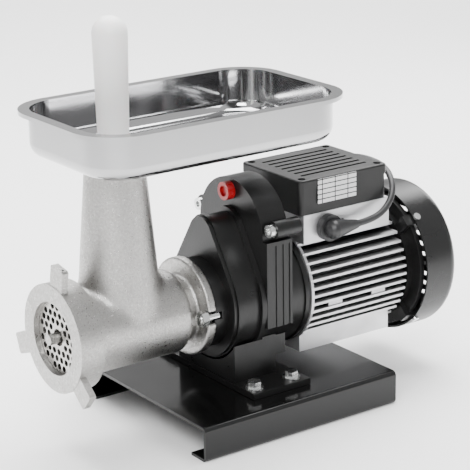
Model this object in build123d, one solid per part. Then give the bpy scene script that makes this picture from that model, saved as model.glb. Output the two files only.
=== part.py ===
from build123d import *
import math
import os

# Electric meat grinder, size 22, in millimetres.
# +X runs along the drive axis from the ring nut to the motor, +Z is up, and the
# base stands on z = 0. The origin is under the middle of the machine.

# Driving dimensions
drive_z = 119.0            # height of the drive axis over the table
ring_front_x = -227.0      # outer face of the ring nut
stud_tip_x = -232.0        # tip of the auger's front stud
fan_cover_back_x = 232.0   # rear face of the motor's fan cover

base_front_x, base_back_x = -127.5, 115.5
base_half_width = 114.0
base_height = 36.0
base_sheet = 3.0
base_lip = 25.0

plate_radius = 41.0
ring_radius = 55.0
ring_opening = 37.0
barrel_radius = 44.0
barrel_bore = 36.5
barrel_front_x, barrel_back_x = -213.0, -89.5
flange_front_x, flange_back_x = -76.0, -67.0
flange_radius = 51.0
throat_x = -149.0
throat_bore = 25.0
throat_top_z = 286.5
throat_top_radius = 29.6
throat_foot_radius = 43.0

cover_front_x, cover_back_x = -50.0, -12.0
housing_back_x = 20.0
stage_gap = 70.0           # drive axis up to the countershaft
motor_drop = 70.0          # countershaft down to the motor axis
counter_z = drive_z + stage_gap
motor_z = counter_z - motor_drop

bell_back_x = 43.7
stator_front_x, stator_back_x = 44.0, 175.0
stator_radius = 64.0
fan_cover_front_x = 187.0
fan_cover_radius = 81.0

box_front_x, box_back_x = 40.0, 154.0
box_half_width = 50.0
box_floor_z, box_split_z, box_top_z = 204.0, 231.0, 241.0

tray_x = -68.0
tray_length, tray_width = 306.0, 190.0
tray_corner = 50.0
tray_rim_z = 334.0
tray_floor_z = 287.0
tray_sheet = 1.5

cord_diameter = 7.0
running = 0.05             # radial play of a shaft in its bearing
gap = 0.3                  # space between neighbouring pieces

os.makedirs("parts", exist_ok=True)


def save(name, shape):
    """Write one sub-part as one STEP file."""
    export_step(shape, f"parts/{name}.step")


def x_plane(x, y=0.0, z=drive_z):
    """Plane that faces along +X, with its own axes along Y and Z."""
    return Plane(origin=(x, y, z), x_dir=(0, 1, 0), z_dir=(1, 0, 0))


def rod(radius, x0, x1, y=0.0, z=drive_z):
    """Round bar along X."""
    return extrude(x_plane(x0, y, z) * Circle(radius), x1 - x0)


def tube(outer, inner, x0, x1, y=0.0, z=drive_z):
    """Round tube along X."""
    return rod(outer, x0, x1, y, z) - rod(inner, x0 - 1, x1 + 1, y, z)


def upright(radius, z0, z1, x, y=0.0):
    """Round bar along Z."""
    return extrude(Plane(origin=(x, y, z0)) * Circle(radius), z1 - z0)


def block(x0, x1, y0, y1, z0, z1):
    """Box between two corners."""
    middle = Pos((x0 + x1) / 2, (y0 + y1) / 2, (z0 + z1) / 2)
    return middle * Box(x1 - x0, y1 - y0, z1 - z0)


def group(solids):
    """Identical pieces kept as one sub-part of separate solids."""
    return Compound(children=list(solids))


def hull_drum(big, small, x0, x1, top_z=counter_z):
    """Teardrop drum round the drive axis and the countershaft above it."""
    outline = Circle(big) + Pos(0, top_z - drive_z) * Circle(small)
    return extrude(x_plane(x0) * make_hull(outline.edges()), x1 - x0)


# ---------------------------------------------------------------- base
base = block(base_front_x, base_back_x, -base_half_width, base_half_width, 0, base_height)
long_edges = base.edges().filter_by(Axis.X)
base = fillet(long_edges, 5)
base -= block(
    base_front_x - 1, base_back_x + 1,
    -base_half_width + base_sheet, base_half_width - base_sheet,
    base_sheet, base_height - base_sheet,
)
base -= block(
    base_front_x - 1, base_back_x + 1,
    -base_half_width + base_lip, base_half_width - base_lip,
    -1, base_sheet + 1,
)
foot_bolt_xs = (-38.0, 9.0)
foot_bolt_y = 73.0
foot_bolt_places = [(x, side * foot_bolt_y) for x in foot_bolt_xs for side in (-1, 1)]
for x, y in foot_bolt_places:
    base -= upright(4.5, base_height - base_sheet - 1, base_height + 1, x, y)
save("base_channel", base)

# ---------------------------------------------------------------- grinding head
ring_back_x = -201.0
ring_lip = 6.0
lug_reach, lug_width, lug_turn = 77.0, 22.0, 10.0
lug_thickness = 7.0
ring = rod(ring_radius, ring_front_x, ring_back_x)
for index in range(3):
    lug = block(
        ring_front_x + 0.5, ring_front_x + 0.5 + lug_thickness,
        -lug_width / 2, lug_width / 2, 45, lug_reach,
    )
    lug = fillet(lug.edges().filter_by(Axis.X), 3)
    lug -= upright(1.3, lug_reach - 4, lug_reach + 1, ring_front_x + 4, -lug_width / 2 + 5)
    ring += Pos(0, 0, drive_z) * Rot(lug_turn + 120 * index, 0, 0) * lug
ring -= rod(ring_opening, ring_front_x - 1, ring_back_x + 1)
ring -= rod(47.0 + gap, ring_front_x + ring_lip, ring_back_x + 1)
save("ring_nut", ring)

plate_front_x, plate_back_x = -220.7, -213.3
plate_hub = 8.6
hole_radius, hole_pitch = 3.2, 8.8
holes = []
for row in range(-4, 5):
    for column in range(-5, 6):
        across = (column + (row % 2) / 2) * hole_pitch
        up = row * hole_pitch * math.sqrt(3) / 2
        distance = math.hypot(across, up)
        if 12.5 < distance < 34.0:
            holes.append(Pos(across, up) * Circle(hole_radius))
plate_face = Circle(plate_radius) - Circle(plate_hub) - holes
hole_plate = extrude(x_plane(plate_front_x) * plate_face, plate_back_x - plate_front_x)
save("hole_plate", hole_plate)

knife_front_x, knife_back_x = -212.8, -206.5
drive_square = 12.6
knife = rod(12, knife_front_x, knife_back_x)
for quarter in range(4):
    arm = block(knife_front_x, knife_back_x, -5.5, 5.5, 5, 34)
    knife += Pos(0, 0, drive_z) * Rot(90 * quarter, 0, 0) * arm
knife -= Pos((knife_front_x + knife_back_x) / 2, 0, drive_z) * Box(20, drive_square + 0.4, drive_square + 0.4)
save("knife", knife)

flight_front_x, flight_back_x = -206.0, -99.0
flight_radius, flight_pitch, flight_thickness = 35.0, 36.0, 9.0
shank_radius = 13.5
shank_end_x = -62.0
auger = rod(13, flight_front_x, -93)
auger += rod(shank_radius, -93, -74)
auger += Pos((-74 + shank_end_x) / 2, 0, drive_z) * Box(shank_end_x + 74, 17, 17)
auger += Pos(-209.6, 0, drive_z) * Box(7, drive_square, drive_square)
auger += rod(5.5, stud_tip_x, flight_front_x)
flight_face = Pos(0, 8) * Rectangle(flight_thickness * 2.2, 16)
flight_face += Pos(0, flight_radius / 2 + 4) * Circle(flight_radius / 2 - 4)
flight_turns = (flight_back_x - flight_front_x) / flight_pitch
flight = Solid.extrude_linear_with_rotation(
    (x_plane(flight_front_x) * flight_face).face(),
    (flight_front_x, 0, drive_z),
    (flight_back_x - flight_front_x, 0, 0),
    360 * flight_turns,
)
auger += flight
save("auger", auger)

body = fillet(rod(barrel_radius, barrel_front_x, barrel_back_x).edges().group_by(Axis.X)[-1], 6)
body += rod(47.0, barrel_front_x, ring_back_x - 2)
body += rod(33, barrel_back_x - 16, flange_front_x)
body += rod(flange_radius, flange_front_x, flange_back_x)
neck_profile = Polyline(
    (0, drive_z), (throat_foot_radius, drive_z), (throat_foot_radius - 1.5, 150), (38.8, 178),
    (throat_top_radius, throat_top_z), (0, throat_top_z), close=True,
)
body += Pos(throat_x, 0, 0) * revolve(Plane.XZ * make_face(neck_profile.edges()), Axis.Z)
body -= rod(barrel_bore, barrel_front_x - 1, barrel_back_x - 5)
body -= rod(shank_radius + 0.4, barrel_back_x - 6, flange_back_x + 1)
body -= upright(throat_bore, drive_z, throat_top_z + 1, throat_x)
spigot_radius = 26.6
body -= upright(spigot_radius + gap, throat_top_z - 18, throat_top_z + 1, throat_x)
clamp_y = 45.0
for side in (-1, 1):
    slot = rod(6.5, flange_front_x - 1, flange_back_x + 1, side * clamp_y)
    slot += block(
        flange_front_x - 1, flange_back_x + 1,
        min(side * clamp_y, side * 60), max(side * clamp_y, side * 60),
        drive_z - 6.5, drive_z + 6.5,
    )
    body -= slot
save("grinder_body", body)

clamp_nuts = []
for side in (-1, 1):
    stud = rod(4, -84.5, cover_front_x - 12, side * clamp_y)
    nut_face = RegularPolygon(8.2, 6) - Circle(4)
    nut = extrude(x_plane(flange_front_x - 7.8, side * clamp_y) * nut_face, 7.5)
    clamp_nuts.append(stud + nut)
save("clamp_studs", group(clamp_nuts))

# ---------------------------------------------------------------- tray and pusher
lip = 10.0
pan_length, pan_width = tray_length - 2 * lip, tray_width - 2 * lip
pan_corner = tray_corner - lip
pan_fillet = 14.0


def pan(shrink, floor_z, top_z):
    """Solid of a pan with rounded corners and a rounded floor edge."""
    face = RectangleRounded(pan_length - 2 * shrink, pan_width - 2 * shrink, pan_corner - shrink)
    solid = extrude(Pos(tray_x, 0, floor_z) * face, top_z - floor_z)
    return fillet(solid.edges().group_by(Axis.Z)[0], pan_fillet - shrink)


rim_face = RectangleRounded(tray_length, tray_width, tray_corner)
rim = extrude(Pos(tray_x, 0, tray_rim_z - 4) * rim_face, 4)
rim_inside = RectangleRounded(tray_length - 3, tray_width - 3, tray_corner - tray_sheet)
rim -= extrude(Pos(tray_x, 0, tray_rim_z - 5) * rim_inside, 5 - tray_sheet)
tray = pan(0, tray_floor_z, tray_rim_z) + rim
tray -= pan(tray_sheet, tray_floor_z + tray_sheet, tray_rim_z + 20)
tray += upright(spigot_radius, throat_top_z - 16, tray_floor_z + 1, throat_x)
tray -= upright(spigot_radius - 1.3, throat_top_z - 20, tray_floor_z + 5, throat_x)
save("feed_tray", tray)

pusher_top_z = 428.0
pusher_foot_z = 158.0
dome_radius = 17.5
profile = Polyline(
    (0, pusher_top_z - dome_radius), (0, pusher_foot_z), (24, pusher_foot_z),
    (24, pusher_foot_z + 14), (15, pusher_foot_z + 26), (15, 290),
    (dome_radius, pusher_top_z - dome_radius), close=True,
)
pusher = revolve(Plane.XZ * make_face(profile.edges()), Axis.Z)
pusher += Pos(0, 0, pusher_top_z - dome_radius) * Sphere(dome_radius)
save("pusher", Pos(throat_x, 0, 0) * pusher)

# ---------------------------------------------------------------- gears


def gear(module, teeth, x0, x1, z, bore, gap_up, thinning=0.12):
    """Spur gear along X; with gap_up a tooth space points up, else a tooth does.

    Flanks are short chords inside the involute, so meshing pairs keep clear.
    """
    pitch_radius = module * teeth / 2
    base_radius = pitch_radius * math.cos(math.radians(20))
    tip_radius = pitch_radius + 0.95 * module
    root_radius = pitch_radius - 1.25 * module
    involute_at_pitch = math.tan(math.radians(20)) - math.radians(20)
    half_tooth = math.pi / (2 * teeth) - thinning / pitch_radius

    def half_angle(radius):
        if radius <= base_radius:
            return half_tooth + involute_at_pitch
        pressure = math.acos(base_radius / radius)
        return half_tooth + involute_at_pitch - (math.tan(pressure) - pressure)

    steps = 6
    first = max(base_radius, root_radius)
    radii = [first + (tip_radius - first) * i / steps for i in range(steps + 1)]
    if root_radius < base_radius:
        radii.insert(0, root_radius)
    points = []
    for tooth in range(teeth):
        middle = math.pi / 2 + 2 * math.pi * (tooth + (0.5 if gap_up else 0)) / teeth
        for radius in radii:
            angle = middle + half_angle(radius)
            points.append((radius * math.cos(angle), radius * math.sin(angle)))
        for radius in reversed(radii):
            angle = middle - half_angle(radius)
            points.append((radius * math.cos(angle), radius * math.sin(angle)))
    # Each tooth was written left flank first, so the order of the teeth is reversed.
    per_tooth = 2 * len(radii)
    loop = []
    for tooth in reversed(range(teeth)):
        loop.extend(points[tooth * per_tooth:(tooth + 1) * per_tooth])
    face = make_face(Polyline(*loop, close=True).edges())
    if bore:
        face -= Circle(bore)
    return extrude(x_plane(x0, 0, z) * face, x1 - x0)


output_gear_x = (-42.0, -20.0)
output_gear = gear(2.0, 54, *output_gear_x, drive_z, 17.0, gap_up=False)
lightening = []
for index in range(6):
    angle = math.radians(30 + 60 * index)
    lightening.append(rod(8, -43, -19, 35 * math.cos(angle), drive_z + 35 * math.sin(angle)))
output_gear -= lightening
save("output_gear", output_gear)

output_shaft = rod(17.0 - running, -65, -19)
output_shaft += rod(10.0, -20, -9)
output_shaft -= Pos(-60, 0, drive_z) * Box(20, 17.4, 17.4)
save("output_shaft", output_shaft)

counter_gear_x = (-5.0, 8.0)
counter_gear = gear(1.4, 72, *counter_gear_x, counter_z, 7.0, gap_up=False)
counter_gear = Pos(0, 0, counter_z) * Rot(180, 0, 0) * Pos(0, 0, -counter_z) * counter_gear
save("countershaft_gear", counter_gear)

# 16 teeth with a space up also have a space straight down.
counter_pinion = gear(2.0, 16, -43, -19, counter_z, 0, gap_up=True)
counter_pinion += rod(7.0 - running, -20, 12, 0, counter_z)
counter_pinion += rod(5.0, -48.5, -42, 0, counter_z)
counter_pinion += rod(5.0, 11, 18.5, 0, counter_z)
save("countershaft", counter_pinion)

rotor_journal = 8.5
rotor_shaft = gear(1.4, 28, -4, 11, motor_z, 0, gap_up=True)
rotor_shaft += rod(rotor_journal, 10, 31.5, 0, motor_z)
rotor_shaft += rod(12, 31.5, 176, 0, motor_z)
rotor_shaft += rod(rotor_journal, 176, 214, 0, motor_z)
save("rotor_shaft", rotor_shaft)

# ---------------------------------------------------------------- gearbox castings
boss_radius = 47.0
drum_radius, drum_top_radius = 60.0, 22.0
cover = rod(boss_radius, flange_back_x + 0.5, cover_front_x + 1)
cover += hull_drum(drum_radius - 2, drum_top_radius - 2, cover_front_x, cover_back_x - gap)
cover += hull_drum(drum_radius, drum_top_radius, cover_front_x + 4, cover_front_x + 9)
cover += hull_drum(drum_radius + 2, drum_top_radius + 3, cover_back_x - 6, cover_back_x - gap)
cover -= hull_drum(57.0, 19.0, -44, cover_back_x + 1)
cover -= rod(28.0, -61, -43)
cover -= rod(22.0, -68, -60)
cover -= rod(9.0, -49, -43, 0, counter_z)
for side in (-1, 1):
    cover -= rod(4.0 + gap, -68, cover_front_x - 8, side * clamp_y)
save("gearbox_cover", cover)

side_half = 62.0
lobe_radius = 55.0
tie_y, tie_z = 62.0, 201.0
tie_front_x, tie_back_x = -4.0, 26.0
housing = rod(lobe_radius, cover_back_x, housing_back_x, 0, counter_z)
housing += block(cover_back_x, housing_back_x, -side_half, side_half, 97, 188)
housing += rod(drum_radius + 0.6, cover_back_x, housing_back_x)
for side in (-1, 1):
    housing += rod(9, tie_front_x, tie_back_x, side * tie_y, tie_z)
    for groove_x in (-3.0, 6.0, 14.0):
        housing -= block(
            groove_x, groove_x + 3, side * side_half - 1, side * side_half + 1, 90, 184,
        )
housing += rod(19, -18, -11)
housing -= rod(15, -18.5, -8)
housing -= rod(52.6, -7, 14, 0, counter_z)
housing -= rod(22.5, -7, 14, 0, motor_z)
housing -= rod(11.0, -13, -6, 0, counter_z)
housing -= rod(9.0, 13, 19, 0, counter_z)
housing -= rod(rotor_journal + 2, 13, 24, 0, motor_z)
oil_plug_z = 231.0
housing -= rod(6 + 0.1, -13, -6, 0, oil_plug_z)
for side in (-1, 1):
    housing -= rod(3.3, tie_front_x - 1, tie_back_x - 3, side * tie_y, tie_z)
foot_plate_top = base_height + gap + 6.5
foot = block(-46, 6, -51, 51, base_height + gap, 85)
foot += block(5, housing_back_x - 1, -50, 50, 62, 83)
foot += block(-48, 24, -86, 86, base_height + gap, foot_plate_top)
foot -= block(-40, 1, -47, 47, base_height - 1, 56)
foot -= rod(drum_radius + 2.5, -60, cover_back_x + 1)
for x, y in foot_bolt_places:
    foot -= upright(4.5, base_height, foot_plate_top + 1, x, y)
housing += foot
save("gearbox_housing", housing)

plug = rod(9.5, -21, cover_back_x - 0.2, 0, oil_plug_z)
plug -= rod(5.5, -22, -18, 0, oil_plug_z)
plug += rod(6, cover_back_x - 0.3, -7.2, 0, oil_plug_z)
save("oil_plug", plug)

tie_bolts = []
for side in (-1, 1):
    bolt = rod(6.5, tie_front_x - 6.2, tie_front_x - 0.2, side * tie_y, tie_z)
    bolt -= rod(3.2, tie_front_x - 7, tie_front_x - 3, side * tie_y, tie_z)
    bolt += rod(3, tie_front_x - 0.3, tie_back_x - 4, side * tie_y, tie_z)
    tie_bolts.append(bolt)
save("tie_bolts", group(tie_bolts))

# ---------------------------------------------------------------- bearings and seal
save("output_seal", tube(21.9, 17.05, -66, -61.3))
save("output_front_bearing", tube(27.9, 17.0 + running, -61 + 0.2, -46))
save("output_rear_bearing", tube(14.9, 10.0 + running, -17.5, -8.7))
save("countershaft_bearings", group([
    tube(8.9, 5.0 + running, -48.8, -44.2, 0, counter_z),
    tube(8.9, 5.0 + running, 13.2, 18.8, 0, counter_z),
]))
save("motor_bearings", group([
    tube(19.9, rotor_journal + running, 22.2, 31, 0, motor_z),
    tube(19.9, rotor_journal + running, 176.5, 185.5, 0, motor_z),
]))

# ---------------------------------------------------------------- motor
front_bell = rod(60, housing_back_x + gap, bell_back_x, 0, motor_z)
front_bell += rod(62, bell_back_x - 6, bell_back_x, 0, motor_z)
front_bell -= rod(50, 34, bell_back_x + 1, 0, motor_z)
front_bell -= rod(20, 22, 35, 0, motor_z)
front_bell -= rod(rotor_journal + 2, 19, 23, 0, motor_z)
for side in (-1, 1):
    front_bell -= rod(9.4, 19, 45, side * tie_y, tie_z)
save("motor_front_bell", front_bell)

stator_bore = 50.0
stator_bottom_z = 53.0
housing_core = rod(54, stator_front_x, stator_back_x, 0, motor_z)
housing_core += rod(stator_radius, stator_front_x, stator_front_x + 3, 0, motor_z)
fin_pitch, fin_thickness = 8.4, 2.6
for index in range(-7, 7):
    rise = index * fin_pitch
    reach = math.sqrt(stator_radius ** 2 - rise ** 2)
    level = motor_z + rise
    fin = block(
        stator_front_x, stator_back_x - 3, -reach, reach,
        level - fin_thickness / 2, level + fin_thickness / 2,
    )
    housing_core += fin
housing_core += block(box_front_x + 4.2, 158, -box_half_width, box_half_width, 173, box_floor_z - gap)
housing_core += block(stator_front_x, 165, -42, 42, stator_bottom_z, 76)
for x, rise in ((78, -12), (136, -12)):
    housing_core += block(x - 9, x + 9, -stator_radius + 4, -50, motor_z + rise - 4, motor_z + rise + 4)
housing_core -= rod(stator_bore, stator_front_x - 1, stator_back_x + 1, 0, motor_z)
housing_core -= block(52, 146, -34, 34, 182, box_floor_z + 1)
boot_x, boot_z = 74.5, 187.0
thread_hole = Plane(origin=(95, -box_half_width - 1, 190), z_dir=(0, 1, 0)) * Circle(2.2)
housing_core -= extrude(thread_hole, 10)
entry_hole = Plane(origin=(boot_x, -box_half_width - 1, boot_z), z_dir=(0, 1, 0)) * Circle(6.3)
housing_core -= extrude(entry_hole, 20)
save("motor_housing", housing_core)

save("stator_core", tube(49.9, 32.2, 62, 157, 0, motor_z))
save("stator_windings", group([
    tube(46, 34, 49, 61.8, 0, motor_z),
    tube(46, 34, 157.2, 170, 0, motor_z),
]))
save("rotor_core", tube(31.6, 12, 62, 157, 0, motor_z))

rear_bell = rod(62, stator_back_x + gap, 183, 0, motor_z)
rear_bell += rod(75, 182, 187.5, 0, motor_z)
rear_bell -= rod(50, stator_back_x - 1, 178, 0, motor_z) - rod(24, 170, 180, 0, motor_z)
rear_bell -= rod(20, 170, 186, 0, motor_z)
rear_bell -= rod(rotor_journal + 1, 185, 190, 0, motor_z)
lug_angles = (45, 135, 225, 315)
for angle in lug_angles:
    turn = Pos(0, 0, motor_z) * Rot(angle, 0, 0)
    rear_bell += turn * block(176, 195, -6, 6, 58.5, fan_cover_radius - 2.7)
    screw_line = Plane(origin=(190.5, 0, fan_cover_radius + 2), z_dir=(0, 0, -1)) * Circle(2.2)
    rear_bell -= turn * extrude(screw_line, 20)
save("motor_rear_bell", rear_bell)

fan = rod(14, 192, 213, 0, motor_z)
fan += rod(55, 192, 194.5, 0, motor_z)
for index in range(8):
    blade = block(192, 212, -1, 1, 12, 57)
    fan += Pos(0, 0, motor_z) * Rot(45 * index, 0, 0) * blade
for index in range(4):
    fan -= Pos(0, 0, motor_z) * Rot(22.5 + 90 * index, 0, 0) * block(190, 195, -4, 4, 20, 50)
fan -= rod(rotor_journal + running, 190, 215, 0, motor_z)
save("cooling_fan", fan)

fan_cover = rod(fan_cover_radius, fan_cover_front_x, fan_cover_back_x, 0, motor_z)
fan_cover = fillet(fan_cover.edges().group_by(Axis.X)[-1], 12)
hollow = rod(fan_cover_radius - 2, fan_cover_front_x - 1, fan_cover_back_x - 2, 0, motor_z)
fan_cover -= fillet(hollow.edges().group_by(Axis.X)[-1], 10)
for index in range(-4, 5):
    reach = math.sqrt(54 ** 2 - (index * 11) ** 2)
    fan_cover -= block(
        fan_cover_back_x - 3, fan_cover_back_x + 1, -reach, reach,
        motor_z + index * 11 - 2.5, motor_z + index * 11 + 2.5,
    ) - block(228, 240, -2.5, 2.5, 0, 240)
for angle in lug_angles:
    screw_line = Plane(origin=(190.5, 0, fan_cover_radius + 2), z_dir=(0, 0, -1)) * Circle(2.5)
    fan_cover -= Pos(0, 0, motor_z) * Rot(angle, 0, 0) * extrude(screw_line, 20)
save("fan_cover", fan_cover)

cover_screws = []
for angle in lug_angles:
    screw = extrude(Plane(origin=(190.5, 0, fan_cover_radius + 0.2)) * Circle(4), 2.2)
    screw += extrude(Plane(origin=(190.5, 0, fan_cover_radius - 11)) * Circle(2), 11.3)
    cover_screws.append(Pos(0, 0, motor_z) * Rot(angle, 0, 0) * screw)
save("fan_cover_screws", group(cover_screws))

# ---------------------------------------------------------------- terminal box
wall = 2.5
terminal_box = block(box_front_x, box_back_x, -box_half_width, box_half_width, box_floor_z, box_split_z)
terminal_box = fillet(terminal_box.edges().filter_by(Axis.Z), 5)
terminal_box -= block(
    box_front_x + wall, box_back_x - wall, -box_half_width + wall, box_half_width - wall,
    box_floor_z + wall, box_split_z + 1,
)
terminal_box -= block(60, 140, -30, 30, box_floor_z - 1, box_floor_z + wall + 1)
lid_screw_places = [(x, y) for x in (box_front_x + 7, box_back_x - 7) for y in (-43, 43)]
for x, y in lid_screw_places:
    terminal_box += upright(5, box_floor_z + 1, box_split_z, x, y)
    terminal_box -= upright(1.9, box_floor_z + 8, box_split_z + 1, x, y)
switch_x, switch_z = 97.0, 217.5
switch_half_x, switch_half_z = 14.0, 10.0
terminal_box -= block(
    switch_x - switch_half_x, switch_x + switch_half_x, box_half_width - wall - 1, box_half_width + 1,
    switch_z - switch_half_z, switch_z + switch_half_z,
)
save("terminal_box", terminal_box)

lid = block(
    box_front_x - 1, box_back_x + 1, -box_half_width - 1, box_half_width + 1,
    box_split_z + 0.1, box_top_z,
)
lid = fillet(lid.edges().filter_by(Axis.Z), 5)
lid = fillet(lid.edges().group_by(Axis.Z)[-1], 2)
lid -= block(
    box_front_x + wall, box_back_x - wall, -box_half_width + wall, box_half_width - wall,
    box_split_z - 1, box_top_z - 3.5,
)
for index in range(-3, 4):
    lid -= block(
        box_front_x + 14, box_back_x - 14, index * 11 - 2, index * 11 + 2,
        box_top_z - 1.2, box_top_z + 1,
    )
for x, y in lid_screw_places:
    lid += upright(5, box_split_z + 0.1, box_top_z - 2, x, y)
    lid -= upright(4.2, box_top_z - 5, box_top_z + 1, x, y)
    lid -= upright(2.0, box_split_z, box_top_z, x, y)
save("terminal_box_lid", lid)

lid_screws = []
for x, y in lid_screw_places:
    screw = upright(3.9, box_top_z - 4.9, box_top_z - 2, x, y)
    screw += upright(1.8, box_floor_z + 9, box_top_z - 4.8, x, y)
    screw -= block(x - 3.4, x + 3.4, y - 0.5, y + 0.5, box_top_z - 3.2, box_top_z)
    lid_screws.append(screw)
save("terminal_lid_screws", group(lid_screws))

save("run_capacitor", rod(12.0, 54, 106, 14, 220.5))
save("terminal_block", block(112, 128, -24, 24, box_floor_z + wall + 0.2, 220))
save("rating_plate", block(61.5, 112, -box_half_width - 1.7, -box_half_width - 1.1, 214, 240))

bezel = block(
    switch_x - 17, switch_x + 17, box_half_width + 0.1, box_half_width + 2.6,
    switch_z - 12.5, switch_z + 12.5,
)
bezel += block(
    switch_x - 13.7, switch_x + 13.7, box_half_width - 18, box_half_width + 0.2,
    switch_z - 9.7, switch_z + 9.7,
)
bezel -= block(
    switch_x - 11.7, switch_x + 11.7, box_half_width - 10, box_half_width + 3,
    switch_z - 8, switch_z + 8,
)
save("switch_frame", bezel)
rocker_pivot_y = box_half_width - 4.0
rocker_outline = Polyline(
    (rocker_pivot_y - 5, -5.5), (box_half_width + 3.6, -6.8), (box_half_width + 2.4, 0),
    (box_half_width + 3.6, 6.8), (rocker_pivot_y - 5, 5.5), close=True,
)
rocker_face = Plane(origin=(switch_x - 11.2, 0, switch_z), x_dir=(0, 1, 0), z_dir=(1, 0, 0))
rocker = extrude(rocker_face * make_face(rocker_outline.edges()), 22.4)
save("rocker", rocker)

# ---------------------------------------------------------------- mains cord
boot_y = -box_half_width
boot = extrude(
    Plane(origin=(boot_x, boot_y - 0.2, boot_z), z_dir=(0, -1, 0)) * Circle(14), 8,
)
boot += extrude(Plane(origin=(boot_x, boot_y + 8, boot_z), z_dir=(0, -1, 0)) * Circle(6), 9)
sleeve_length = 30.0
sleeve_profile = Polyline(
    (-10.5, 0), (-9.7, 4.0), (-7.4, 7.4), (-4.0, 9.7), (0, 10.5), (5, 9.6),
    (sleeve_length, 4.6), (sleeve_length, 0), close=True,
)
sleeve = revolve(Plane.XY * make_face(sleeve_profile.edges()), Axis.X)
boot += Pos(boot_x, boot_y - 12, boot_z) * sleeve
save("cord_boot", boot)

cord_radius = cord_diameter / 2
coil_x, coil_y = 125.0, 192.0
coil_middle_radius = 40.0
coil_half_width = 10.5
coil_height = 14.0
coil_outer_lane = coil_middle_radius + coil_half_width - cord_radius
cord_route = [
    (boot_x + sleeve_length, boot_y - 12, boot_z),
    (122, boot_y - 13, 188),
    (140, boot_y - 13, 194),
    (155, boot_y - 9, 206),
    (166, boot_y + 4, 220),
    (172, -25, 230),
    (171, 4, 233),
    (168, 33, 229),
    (166, 58, 214),
    (166, 79, 186),
    (168, 93, 150),
    (166, 101, 110),
    (163, 107, 72),
    (163, 117, 40),
    (163, 135, 17),
    (168, 156, 6),
    (coil_x + coil_outer_lane, 176, cord_radius),
    (coil_x + coil_outer_lane, coil_y, cord_radius),
]


def corner_radii(points):
    """Radius of each corner: 0.45 of its shorter run, over the tangent of half the turn."""
    radii = []
    for before, here, after in zip(points, points[1:], points[2:]):
        run_in = Vector(*here) - Vector(*before)
        run_out = Vector(*after) - Vector(*here)
        turn = math.radians(run_in.get_angle(run_out))
        shorter = min(run_in.length, run_out.length)
        radii.append(0.45 * shorter / math.tan(turn / 2))
    return radii


cord_radii = corner_radii(cord_route)
cord_path = FilletPolyline(*cord_route, radius=cord_radii)
cord_start = Plane(
    origin=cord_route[0],
    z_dir=Vector(*cord_route[1]) - Vector(*cord_route[0]),
)
cord = sweep(cord_start * Circle(cord_radius), path=cord_path)
save("mains_cord", cord)

coil = upright(coil_middle_radius + coil_half_width, 0, coil_height, coil_x, coil_y)
coil -= upright(coil_middle_radius - coil_half_width, -1, coil_height + 1, coil_x, coil_y)
coil = fillet(coil.edges().group_by(Axis.Z)[-1], 3)
save("cord_coil", coil)

# The plug lies on the table beside the coil, its pins towards the grinding head.
plug_y = coil_y + 49.0
plug_z = 18.5
relief_x, shoulder_x, grip_x, plug_face_x = 101.0, 70.0, 48.0, 18.0
turn_to_plug = Pos(0, plug_y, plug_z) * Rot(0, 0, 180)
plug_profile = Polyline(
    (-relief_x, 0), (-relief_x, 4.4), (-shoulder_x, 6.5), (-shoulder_x + 3, 9), (-grip_x, 18.5),
    (-plug_face_x - 2, 18.5), (-plug_face_x, 16.5), (-plug_face_x, 0), close=True,
)
save("mains_plug", turn_to_plug * revolve(Plane.XY * make_face(plug_profile.edges()), Axis.X))
save("plug_pins", group(
    rod(2.4, plug_face_x - 19, plug_face_x, plug_y + side * 9.5, plug_z) for side in (-1, 1)
))

# ---------------------------------------------------------------- foot bolts
foot_bolts = []
for x, y in foot_bolt_places:
    flange_z = foot_plate_top + 0.1
    bolt = upright(9.5, flange_z, flange_z + 2, x, y)
    head_face = RegularPolygon(7.5, 6)
    bolt += extrude(Pos(x, y, flange_z + 1.9) * head_face, 6)
    bolt += upright(4, 24, flange_z + 0.5, x, y)
    bolt += extrude(Pos(x, y, base_height - base_sheet - 6.6) * head_face, 6.5)
    foot_bolts.append(bolt)
save("foot_bolts", group(foot_bolts))
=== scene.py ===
import math

import bmesh
import bpy
from mathutils import Matrix, Quaternion, Vector


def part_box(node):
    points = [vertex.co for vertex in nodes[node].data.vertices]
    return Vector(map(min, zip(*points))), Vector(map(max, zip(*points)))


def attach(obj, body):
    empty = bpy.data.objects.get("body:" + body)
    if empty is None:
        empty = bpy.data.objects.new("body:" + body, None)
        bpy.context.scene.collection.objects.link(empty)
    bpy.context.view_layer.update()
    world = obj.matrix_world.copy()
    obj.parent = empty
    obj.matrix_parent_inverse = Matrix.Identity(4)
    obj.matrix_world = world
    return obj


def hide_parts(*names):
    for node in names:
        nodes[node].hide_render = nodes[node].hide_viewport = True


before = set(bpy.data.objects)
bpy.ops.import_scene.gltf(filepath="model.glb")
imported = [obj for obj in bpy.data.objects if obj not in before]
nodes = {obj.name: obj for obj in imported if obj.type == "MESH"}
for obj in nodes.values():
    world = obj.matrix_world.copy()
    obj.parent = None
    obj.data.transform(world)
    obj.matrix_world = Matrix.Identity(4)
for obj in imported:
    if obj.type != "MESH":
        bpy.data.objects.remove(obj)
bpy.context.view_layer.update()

scene = bpy.context.scene


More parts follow.
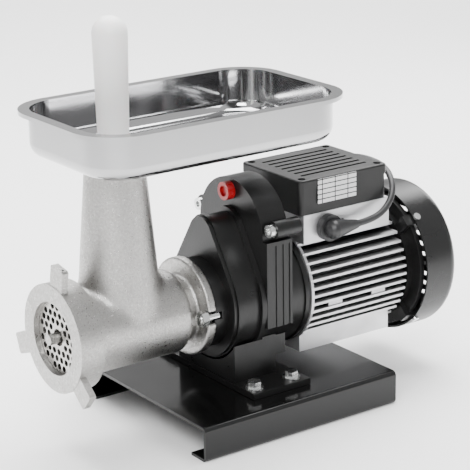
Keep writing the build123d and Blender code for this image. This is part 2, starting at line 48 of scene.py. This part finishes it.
# ------------------------------------------------------------------ camera
# A long lens stands at the front left and a little above, where the head, the motor and
# the inside of the tray are all in view.
azimuth, elevation, roll = math.radians(-35.5), math.radians(17.67), math.radians(-0.96)
look_at = Vector((-0.0068, 0.0, 0.1814))
camera_distance = 1.856
focal_ratio = 3.83
towards_camera = Vector((
    math.sin(azimuth) * math.cos(elevation),
    -math.cos(azimuth) * math.cos(elevation),
    math.sin(elevation),
))
camera_data = bpy.data.cameras.new("camera")
camera_data.sensor_width = 36
camera_data.lens = 36 * focal_ratio
camera = bpy.data.objects.new("camera", camera_data)
camera_turn = towards_camera.to_track_quat("Z", "Y") @ Quaternion((0, 0, 1), roll)
camera_place = Matrix.Translation(look_at + towards_camera * camera_distance)
camera.matrix_world = camera_place @ camera_turn.to_matrix().to_4x4()
scene.collection.objects.link(camera)
scene.camera = camera


# ------------------------------------------------------------------ mains cord
# A round rubber lead, 7 mm thick and 1.8 m long, moulded to its boot and its plug.
# It rises round the end of the terminal box, drops behind the motor and ends coiled.
def add_group(name, inputs, outputs):
    """Empty shader node group with named inputs and outputs."""
    group = bpy.data.node_groups.new(name, "ShaderNodeTree")
    for label, kind, default in inputs:
        socket = group.interface.new_socket(label, in_out="INPUT", socket_type=kind)
        socket.default_value = default
    for label, kind in outputs:
        group.interface.new_socket(label, in_out="OUTPUT", socket_type=kind)
    group.nodes.new("NodeGroupInput").name = "in"
    group.nodes.new("NodeGroupOutput").name = "out"
    return group


def noise_into(group, scale_input, detail, label):
    """Noise on object coordinates, its scale read from one of the group's inputs."""
    tree = group.nodes
    place = tree.new("ShaderNodeTexCoord")
    noise = tree.new("ShaderNodeTexNoise")
    noise.inputs["Detail"].default_value = detail
    group.links.new(place.outputs["Object"], noise.inputs["Vector"])
    group.links.new(tree["in"].outputs[scale_input], noise.inputs["Scale"])
    noise.label = label
    return noise


# A Mix node has sockets for each kind of value, and these are its colour ones.
colour_a, colour_b, colour_result = 6, 7, 2
grain = add_group(
    "surface_grain",
    [("Colour", "NodeSocketColor", (0.5, 0.5, 0.5, 1)), ("Dirt", "NodeSocketColor", (0.3, 0.3, 0.3, 1)),
     ("Grain scale", "NodeSocketFloat", 800.0), ("Patch scale", "NodeSocketFloat", 18.0),
     ("Patch amount", "NodeSocketFloat", 0.3), ("Roughness low", "NodeSocketFloat", 0.3),
     ("Roughness high", "NodeSocketFloat", 0.5)],
    [("Colour", "NodeSocketColor"), ("Roughness", "NodeSocketFloat"), ("Height", "NodeSocketFloat")],
)
fine = noise_into(grain, "Grain scale", 3, "fine grain")
patch = noise_into(grain, "Patch scale", 5, "patches")
weight = grain.nodes.new("ShaderNodeMath")
weight.operation = "MULTIPLY"
grain.links.new(patch.outputs["Fac"], weight.inputs[0])
grain.links.new(grain.nodes["in"].outputs["Patch amount"], weight.inputs[1])
mixed = grain.nodes.new("ShaderNodeMix")
mixed.data_type = "RGBA"
grain.links.new(weight.outputs[0], mixed.inputs["Factor"])
grain.links.new(grain.nodes["in"].outputs["Colour"], mixed.inputs[colour_a])
grain.links.new(grain.nodes["in"].outputs["Dirt"], mixed.inputs[colour_b])
spread = grain.nodes.new("ShaderNodeMapRange")
spread.inputs["From Min"].default_value = 0.3
spread.inputs["From Max"].default_value = 0.7
grain.links.new(patch.outputs["Fac"], spread.inputs["Value"])
grain.links.new(grain.nodes["in"].outputs["Roughness low"], spread.inputs["To Min"])
grain.links.new(grain.nodes["in"].outputs["Roughness high"], spread.inputs["To Max"])
grain.links.new(mixed.outputs[colour_result], grain.nodes["out"].inputs["Colour"])
grain.links.new(spread.outputs[0], grain.nodes["out"].inputs["Roughness"])
grain.links.new(fine.outputs["Fac"], grain.nodes["out"].inputs["Height"])


def finish(name, colour, dirt, grain_scale, patch_scale, patch_amount, roughness, bump, **sockets):
    """Principled material driven by the grain group; bump is (strength, depth in metres)."""
    material = bpy.data.materials.new(name)
    material.use_nodes = True
    tree = material.node_tree
    shader = tree.nodes["Principled BSDF"]
    surface = tree.nodes.new("ShaderNodeGroup")
    surface.node_tree = grain
    surface.inputs["Colour"].default_value = (*colour, 1)
    surface.inputs["Dirt"].default_value = (*dirt, 1)
    surface.inputs["Grain scale"].default_value = grain_scale
    surface.inputs["Patch scale"].default_value = patch_scale
    surface.inputs["Patch amount"].default_value = patch_amount
    surface.inputs["Roughness low"].default_value = roughness[0]
    surface.inputs["Roughness high"].default_value = roughness[1]
    relief = tree.nodes.new("ShaderNodeBump")
    relief.inputs["Strength"].default_value = bump[0]
    relief.inputs["Distance"].default_value = bump[1]
    tree.links.new(surface.outputs["Colour"], shader.inputs["Base Color"])
    tree.links.new(surface.outputs["Roughness"], shader.inputs["Roughness"])
    tree.links.new(surface.outputs["Height"], relief.inputs["Height"])
    tree.links.new(relief.outputs["Normal"], shader.inputs["Normal"])
    for label, value in sockets.items():
        shader.inputs[label.replace("_", " ")].default_value = value
    return material


def clothe(material, *names):
    """Give CAD nodes a material."""
    for name in names:
        for holder in nodes[name].material_slots:
            holder.material = material


cord_rubber = finish(
    "cord_rubber",
    colour=(0.012, 0.012, 0.013),
    dirt=(0.03, 0.03, 0.03),
    grain_scale=700,
    patch_scale=30,
    patch_amount=0.5,
    roughness=(0.38, 0.55),
    bump=(0.12, 0.0003),
)
cord_diameter = 0.007
cord_radius = cord_diameter / 2
cord_points = [
    (0.1045, -0.062, 0.187),
    (0.122, -0.063, 0.188),
    (0.140, -0.063, 0.194),
    (0.155, -0.059, 0.206),
    (0.166, -0.046, 0.220),
    (0.172, -0.025, 0.230),
    (0.171, 0.004, 0.233),
    (0.168, 0.033, 0.229),
    (0.166, 0.058, 0.214),
    (0.166, 0.079, 0.186),
    (0.168, 0.093, 0.150),
    (0.166, 0.101, 0.110),
    (0.163, 0.107, 0.072),
    (0.163, 0.117, 0.040),
    (0.163, 0.135, 0.017),
    (0.168, 0.156, 0.006),
    (0.172, 0.176, cord_radius),
]
# The coil winds inwards on the table, steps up a layer and winds out again to the plug.
coil_low, coil_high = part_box("cord_coil")
coil_x = (coil_low.x + coil_high.x) / 2
coil_y = (coil_low.y + coil_high.y) / 2
lane = 0.0071
outer_lane = 0.0471
floor_clearance = 0.0002
steps_per_turn = 16
turns_in = 2.5
turns_out = 2.75
layer_step_turns = 0.35
plug_rise_turns = 0.25
plug_rise = 0.004
plug_height = 0.0185
plug_offset = 0.049
plug_entry_x = 0.101
for step in range(round((turns_in + turns_out) * steps_per_turn) + 1):
    turn = step / steps_per_turn
    angle = 2 * math.pi * turn
    inwards = min(turn, 2 * turns_in - turn)
    radius = outer_lane - lane * inwards
    layer_up = min(max((turn - turns_in + layer_step_turns) / layer_step_turns, 0), 1)
    up_to_plug = max(turn - (turns_in + turns_out - plug_rise_turns), 0) / plug_rise_turns
    cord_points.append((
        coil_x + radius * math.cos(angle),
        coil_y + radius * math.sin(angle),
        cord_radius + floor_clearance + cord_diameter * layer_up + plug_rise * up_to_plug,
    ))
# The last two points leave the coil and run straight into the plug.
plug_y = coil_y + plug_offset
cord_points += [
    (coil_x - 0.009, plug_y - 0.001, plug_height - 0.002),
    (plug_entry_x, plug_y, plug_height),
]
cord_curve = bpy.data.curves.new("mains_cord_line", "CURVE")
cord_curve.dimensions = "3D"
spline = cord_curve.splines.new("NURBS")
spline.points.add(len(cord_points) - 1)
for point, place in zip(spline.points, cord_points):
    point.co = (*place, 1)
spline.order_u = 3
spline.use_endpoint_u = True
spline.resolution_u = 4
cord_curve.bevel_depth = cord_radius
cord_curve.bevel_resolution = 3
cord = bpy.data.objects.new("mains_cord_line", cord_curve)
scene.collection.objects.link(cord)
cord_curve.materials.append(cord_rubber)
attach(cord, "machine")
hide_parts("mains_cord", "cord_coil")
clothe(cord_rubber, "cord_boot", "mains_plug")
# The plug's pins are turned brass with a thin nickel wash, moulded into the plug.
pin_metal = finish(
    "pin_metal",
    colour=(0.8, 0.76, 0.66),
    dirt=(0.5, 0.45, 0.35),
    grain_scale=900,
    patch_scale=60,
    patch_amount=0.3,
    roughness=(0.2, 0.3),
    bump=(0.05, 0.0002),
    Metallic=1.0,
)
clothe(pin_metal, "plug_pins")


# ------------------------------------------------------------------ base channel
# The base that the machine stands on: steel sheet folded into a channel, its lips
# turned in at the bottom, and powder coated gloss black.
gloss_black = finish(
    "gloss_black_powder",
    colour=(0.003, 0.003, 0.003),
    dirt=(0.006, 0.006, 0.006),
    grain_scale=260,
    patch_scale=12,
    patch_amount=0.5,
    roughness=(0.12, 0.2),
    bump=(0.05, 0.0004),
    Specular_IOR_Level=0.4,
)
clothe(gloss_black, "base_channel")

# ------------------------------------------------------------------ fasteners
# The bolts, studs, nuts and screws that hold the castings, the base, the fan cover and
# the terminal lid: steel with a bright zinc plating.
zinc = finish(
    "bright_zinc",
    colour=(0.78, 0.79, 0.80),
    dirt=(0.55, 0.56, 0.5),
    grain_scale=700,
    patch_scale=90,
    patch_amount=0.5,
    roughness=(0.16, 0.32),
    bump=(0.12, 0.0002),
    Metallic=1.0,
)
clothe(zinc, "foot_bolts", "clamp_studs", "tie_bolts", "fan_cover_screws", "terminal_lid_screws")

# ------------------------------------------------------------------ gearbox and bells
# The gearbox, its cover and the motor's two end bells are aluminium castings, sprayed
# with semi-gloss black enamel and pulled together by the tie bolts.
black_enamel = finish(
    "black_enamel",
    colour=(0.004, 0.004, 0.004),
    dirt=(0.010, 0.010, 0.010),
    grain_scale=420,
    patch_scale=22,
    patch_amount=0.6,
    roughness=(0.26, 0.38),
    bump=(0.22, 0.0004),
    Specular_IOR_Level=0.35,
)
clothe(black_enamel, "gearbox_housing", "gearbox_cover", "motor_front_bell", "motor_rear_bell")
# ------------------------------------------------------------------ fan cover
# A steel cup pressed from sheet and painted satin black. It slips over the rear bell
# and is held there by small screws.
satin_black = finish(
    "satin_black_steel",
    colour=(0.005, 0.005, 0.005),
    dirt=(0.012, 0.012, 0.012),
    grain_scale=300,
    patch_scale=14,
    patch_amount=0.5,
    roughness=(0.24, 0.34),
    bump=(0.06, 0.0003),
    Specular_IOR_Level=0.4,
)
clothe(satin_black, "fan_cover")
# ------------------------------------------------------------------ oil plug
# A moulded red plastic plug, screwed into the gearbox where its oil is filled in.
red_plastic = finish(
    "red_plastic",
    colour=(0.42, 0.008, 0.012),
    dirt=(0.28, 0.005, 0.008),
    grain_scale=500,
    patch_scale=60,
    patch_amount=0.5,
    roughness=(0.25, 0.35),
    bump=(0.05, 0.0002),
)
clothe(red_plastic, "oil_plug")

# ------------------------------------------------------------------ motor body
# Raw die-cast aluminium with cooling fins, a pedestal for the terminal box and a foot
# bolted to the base. The grooves between the fins get painted shade, darker towards their bottom.
raw_aluminium = finish(
    "raw_aluminium",
    colour=(0.68, 0.68, 0.69),
    dirt=(0.42, 0.42, 0.43),
    grain_scale=900,
    patch_scale=35,
    patch_amount=0.6,
    roughness=(0.34, 0.5),
    bump=(0.2, 0.0004),
    Metallic=0.9,
)
shaft_height = 0.119
groove_radius = 0.0555
shade_end_radius = 0.0625
shade = raw_aluminium.node_tree
# Painted shade: nearer the motor's axis than the fin tips, the base colour darkens to near black in the
# grooves.
spot = shade.nodes.new("ShaderNodeTexCoord")
on_axis = shade.nodes.new("ShaderNodeMapping")
on_axis.inputs["Location"].default_value = (0, 0, -shaft_height)
on_axis.inputs["Scale"].default_value = (0, 1, 1)
reach = shade.nodes.new("ShaderNodeVectorMath")
reach.operation = "LENGTH"
depth = shade.nodes.new("ShaderNodeMapRange")
depth.inputs["From Min"].default_value = groove_radius
depth.inputs["From Max"].default_value = shade_end_radius
groove_shade = shade.nodes.new("ShaderNodeMix")
groove_shade.data_type = "RGBA"
groove_shade.inputs[colour_a].default_value = (0.05, 0.05, 0.052, 1)
shade.links.new(spot.outputs["Object"], on_axis.inputs["Vector"])
shade.links.new(on_axis.outputs["Vector"], reach.inputs[0])
shade.links.new(reach.outputs["Value"], depth.inputs["Value"])
shade.links.new(depth.outputs["Result"], groove_shade.inputs["Factor"])
shade.links.new(shade.nodes["Group"].outputs["Colour"], groove_shade.inputs[colour_b])
shade.links.new(groove_shade.outputs[colour_result], shade.nodes["Principled BSDF"].inputs["Base Color"])
clothe(raw_aluminium, "motor_housing")
# ------------------------------------------------------------------ stator and rotor
# Both cores are stacks of punched steel sheet, and the stator's slots are wound with
# copper wire dipped in varnish.
lamination = finish(
    "lamination_steel",
    colour=(0.3, 0.3, 0.32),
    dirt=(0.15, 0.12, 0.1),
    grain_scale=900,
    patch_scale=50,
    patch_amount=0.5,
    roughness=(0.4, 0.6),
    bump=(0.2, 0.0003),
    Metallic=0.9,
)
clothe(lamination, "stator_core", "rotor_core")
copper = finish(
    "varnished_copper",
    colour=(0.55, 0.24, 0.09),
    dirt=(0.3, 0.1, 0.04),
    grain_scale=800,
    patch_scale=60,
    patch_amount=0.5,
    roughness=(0.25, 0.4),
    bump=(0.3, 0.0005),
    Metallic=0.8,
)
clothe(copper, "stator_windings")

# ------------------------------------------------------------------ gears, shafts, bearings
# Two stages of spur gears on turned shafts, in ball bearings pressed into the castings.
# All are steel with a film of oil, and a rubber seal keeps it in at the output.
oiled_steel = finish(
    "oiled_steel",
    colour=(0.5, 0.49, 0.47),
    dirt=(0.25, 0.22, 0.16),
    grain_scale=900,
    patch_scale=70,
    patch_amount=0.6,
    roughness=(0.2, 0.35),
    bump=(0.1, 0.0002),
    Metallic=1.0,
)
clothe(
    oiled_steel, "output_shaft", "output_gear", "countershaft", "countershaft_gear", "rotor_shaft",
    "output_front_bearing", "output_rear_bearing", "countershaft_bearings", "motor_bearings",
)
clothe(cord_rubber, "output_seal")

# ------------------------------------------------------------------ terminal box
# A box and lid moulded in black plastic with a fine spark grain, screwed to the motor's
# pedestal. The rocker, its frame and the cooling fan are the same plastic.
moulded_black = finish(
    "moulded_black",
    colour=(0.007, 0.007, 0.007),
    dirt=(0.014, 0.014, 0.014),
    grain_scale=1600,
    patch_scale=20,
    patch_amount=0.5,
    roughness=(0.34, 0.46),
    bump=(0.3, 0.0002),
    Specular_IOR_Level=0.35,
)
clothe(
    moulded_black, "terminal_box", "terminal_box_lid", "switch_frame", "rocker", "cooling_fan",
)
# The run capacitor and the terminal block inside the box are pale mouldings.
pale_moulding = finish(
    "pale_moulding",
    colour=(0.75, 0.74, 0.7),
    dirt=(0.6, 0.58, 0.52),
    grain_scale=900,
    patch_scale=40,
    patch_amount=0.4,
    roughness=(0.35, 0.5),
    bump=(0.1, 0.0002),
)
clothe(pale_moulding, "run_capacitor", "terminal_block")
# ------------------------------------------------------------------ rating plate
# Thin aluminium foil glued to the front of the box. It carries an empty form, ruled in
# black lines, with nothing written in it.
foil = finish(
    "label_foil",
    colour=(0.6, 0.6, 0.6),
    dirt=(0.4, 0.4, 0.4),
    grain_scale=900,
    patch_scale=40,
    patch_amount=0.4,
    roughness=(0.3, 0.4),
    bump=(0.05, 0.0001),
    Metallic=0.7,
)
rules = foil.node_tree
flat = rules.nodes.new("ShaderNodeTexCoord")
upright = rules.nodes.new("ShaderNodeMapping")
upright.inputs["Rotation"].default_value = (math.radians(-90), 0, 0)
cells = rules.nodes.new("ShaderNodeTexBrick")
cells.offset = 0
cells.inputs["Scale"].default_value = 1
cells.inputs["Brick Width"].default_value = 0.0168
cells.inputs["Row Height"].default_value = 0.0052
cells.inputs["Mortar Size"].default_value = 0.0006
cells.inputs["Mortar"].default_value = (0.01, 0.01, 0.01, 1)
rules.links.new(flat.outputs["Object"], upright.inputs["Vector"])
rules.links.new(upright.outputs["Vector"], cells.inputs["Vector"])
for place in ("Color1", "Color2"):
    rules.links.new(rules.nodes["Group"].outputs["Colour"], cells.inputs[place])
rules.links.new(cells.outputs["Color"], rules.nodes["Principled BSDF"].inputs["Base Color"])
clothe(foil, "rating_plate")

# ------------------------------------------------------------------ grinding head
# The body, the ring nut and the auger are iron castings dipped in tin: sandy, pale and
# softly shining. The body is one casting, so its neck and barrel flow into each other.
tinned = finish(
    "tinned_casting",
    colour=(0.60, 0.59, 0.575),
    dirt=(0.20, 0.195, 0.185),
    grain_scale=760,
    patch_scale=430,
    patch_amount=0.8,
    roughness=(0.24, 0.42),
    bump=(0.7, 0.0008),
    Metallic=1.0,
)
clothe(tinned, "grinder_body", "ring_nut", "auger")
merge_distance = 0.00002
skin_voxel = 0.0016
body_mesh = bmesh.new()
body_mesh.from_mesh(nodes["grinder_body"].data)
bmesh.ops.remove_doubles(body_mesh, verts=body_mesh.verts, dist=merge_distance)
body_data = bpy.data.meshes.new("head_casting")
body_mesh.to_mesh(body_data)
body_mesh.free()
body_data.materials.append(tinned)
head_casting = bpy.data.objects.new("head_casting", body_data)
scene.collection.objects.link(head_casting)
rounded = head_casting.modifiers.new("cast_skin", "REMESH")
rounded.mode = "VOXEL"
rounded.voxel_size = skin_voxel
rounded.use_smooth_shade = True
bpy.context.view_layer.update()
skinned = head_casting.evaluated_get(bpy.context.evaluated_depsgraph_get())
skin = bpy.data.meshes.new_from_object(skinned)
head_casting.modifiers.clear()
head_casting.data = skin
skin_mesh = bmesh.new()
skin_mesh.from_mesh(skin)
all_ways = {"use_axis_x": True, "use_axis_y": True, "use_axis_z": True}
throat_x = -0.149
bore_radius = 0.026
bore_margin = 0.004
blend_bottom, blend_top = 0.130, 0.185
blend_reach = 0.062
barrel_core_radius = 0.041
blend_passes = 40
bmesh.ops.smooth_vert(skin_mesh, verts=skin_mesh.verts, factor=0.5, **all_ways)
# Where the neck meets the barrel the skin is smoothed further, clear of both bores.
blend_band = [
    vert for vert in skin_mesh.verts
    if blend_bottom < vert.co.z < blend_top and abs(vert.co.x - throat_x) < blend_reach
    and math.hypot(vert.co.x - throat_x, vert.co.y) > bore_radius + bore_margin
    and math.hypot(vert.co.y, vert.co.z - shaft_height) > barrel_core_radius
]
for _ in range(blend_passes):
    bmesh.ops.smooth_vert(skin_mesh, verts=blend_band, factor=0.5, **all_ways)
for face in skin_mesh.faces:
    face.smooth = True
skin_mesh.to_mesh(skin)
skin_mesh.free()
skin.materials.clear()
skin.materials.append(tinned)
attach(head_casting, "machine")
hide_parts("grinder_body")
# ------------------------------------------------------------------ hole plate and knife
# Both are tool steel, hardened and ground flat, and the knife turns against the plate.
ground_steel = finish(
    "ground_steel",
    colour=(0.55, 0.54, 0.52),
    dirt=(0.3, 0.29, 0.27),
    grain_scale=900,
    patch_scale=60,
    patch_amount=0.6,
    roughness=(0.2, 0.34),
    bump=(0.1, 0.0002),
    Metallic=1.0,
)
clothe(ground_steel, "hole_plate", "knife")

# ------------------------------------------------------------------ feed tray
# A stainless pan pressed from one sheet and polished, with a hole that sits on the
# throat. Fine upright drawing marks are left in its walls.
stainless = finish(
    "polished_stainless",
    colour=(0.50, 0.50, 0.505),
    dirt=(0.36, 0.36, 0.365),
    grain_scale=140,
    patch_scale=8,
    patch_amount=0.5,
    roughness=(0.05, 0.14),
    bump=(0.03, 0.0006),
    Metallic=1.0,
)
drawn = stainless.node_tree
sheet_place = drawn.nodes.new("ShaderNodeTexCoord")
sheet_stretch = drawn.nodes.new("ShaderNodeMapping")
sheet_stretch.inputs["Scale"].default_value = (900, 900, 12)
streaks = drawn.nodes.new("ShaderNodeTexNoise")
streaks.inputs["Scale"].default_value = 1
streaks.inputs["Detail"].default_value = 2
brushed = drawn.nodes.new("ShaderNodeBump")
brushed.inputs["Strength"].default_value = 0.12
brushed.inputs["Distance"].default_value = 0.0002
drawn.links.new(sheet_place.outputs["Object"], sheet_stretch.inputs["Vector"])
drawn.links.new(sheet_stretch.outputs["Vector"], streaks.inputs["Vector"])
drawn.links.new(streaks.outputs["Fac"], brushed.inputs["Height"])
drawn.links.new(brushed.outputs["Normal"], drawn.nodes["Principled BSDF"].inputs["Normal"])
clothe(stainless, "feed_tray")

# ------------------------------------------------------------------ pusher
# A stomper turned from white polyethylene. It stands loose in the throat and is pushed
# down by hand.
white_plastic = finish(
    "white_polyethylene",
    colour=(0.86, 0.86, 0.85),
    dirt=(0.78, 0.78, 0.76),
    grain_scale=500,
    patch_scale=14,
    patch_amount=0.5,
    roughness=(0.32, 0.42),
    bump=(0.06, 0.0003),
    Subsurface_Weight=0.08,
)
clothe(white_plastic, "pusher")

# ------------------------------------------------------------------ floor and light
# A pale floor, one big soft light above, a key and a rim at the sides, and one on the
# backdrop. The surroundings are bright with dark flags, which the polished steel reflects.
floor_half_width = 6
floor_mesh = bmesh.new()
bmesh.ops.create_grid(floor_mesh, x_segments=1, y_segments=1, size=floor_half_width)
floor_data = bpy.data.meshes.new("floor")
floor_mesh.to_mesh(floor_data)
floor_mesh.free()
floor = bpy.data.objects.new("floor", floor_data)
scene.collection.objects.link(floor)
floor_paint = finish(
    "floor_paint",
    colour=(0.97, 0.97, 0.97),
    dirt=(0.96, 0.96, 0.96),
    grain_scale=20,
    patch_scale=2,
    patch_amount=0.5,
    roughness=(0.7, 0.8),
    bump=(0.01, 0.0005),
)
floor_data.materials.append(floor_paint)

world = bpy.data.worlds.new("studio")
world.use_nodes = True
sky = world.node_tree
facing = sky.nodes.new("ShaderNodeTexCoord")
around = sky.nodes.new("ShaderNodeTexGradient")
around.gradient_type = "RADIAL"
flags = sky.nodes.new("ShaderNodeValToRGB")
# Each stop is a share of a full turn round the machine and how bright it is there.
flag_stops = (
    (0.0, 0.9), (0.12, 0.9), (0.17, 0.12), (0.26, 0.12), (0.31, 1.0), (0.44, 1.0),
    (0.50, 0.25), (0.60, 0.25), (0.66, 1.0), (0.78, 1.0), (0.84, 0.15), (0.92, 0.15), (0.97, 0.9),
)
ramp = flags.color_ramp
while len(ramp.elements) < len(flag_stops):
    ramp.elements.new(0.5)
for element, (position, level) in zip(ramp.elements, flag_stops):
    element.position = position
    element.color = (level, level, level, 1)
sky.links.new(facing.outputs["Generated"], around.inputs["Vector"])
sky.links.new(around.outputs["Fac"], flags.inputs["Fac"])
sky.links.new(flags.outputs["Color"], sky.nodes["Background"].inputs["Color"])
sky.nodes["Background"].inputs["Strength"].default_value = 0.9
scene.world = world


def soft_light(name, place, size, power, aim=(0, 0, 0.15)):
    """Square area light at a place, turned to a point on the machine."""
    data = bpy.data.lights.new(name, "AREA")
    data.shape = "RECTANGLE"
    data.size, data.size_y = size
    data.energy = power
    light = bpy.data.objects.new(name, data)
    towards = Vector(place) - Vector(aim)
    turn_to_aim = towards.to_track_quat("Z", "Y").to_matrix().to_4x4()
    light.matrix_world = Matrix.Translation(place) @ turn_to_aim
    scene.collection.objects.link(light)


soft_light("key", place=(-1.1, -1.3, 1.5), size=(0.9, 0.9), power=44)
soft_light("top", place=(0.1, 0.3, 1.9), size=(1.8, 1.4), power=90)
soft_light("rim", place=(1.4, 0.5, 0.9), size=(0.5, 1.0), power=10)
soft_light("backdrop", place=(1.2, 2.0, 2.3), size=(3.2, 3.2), power=170, aim=(1.1, 1.9, 0))
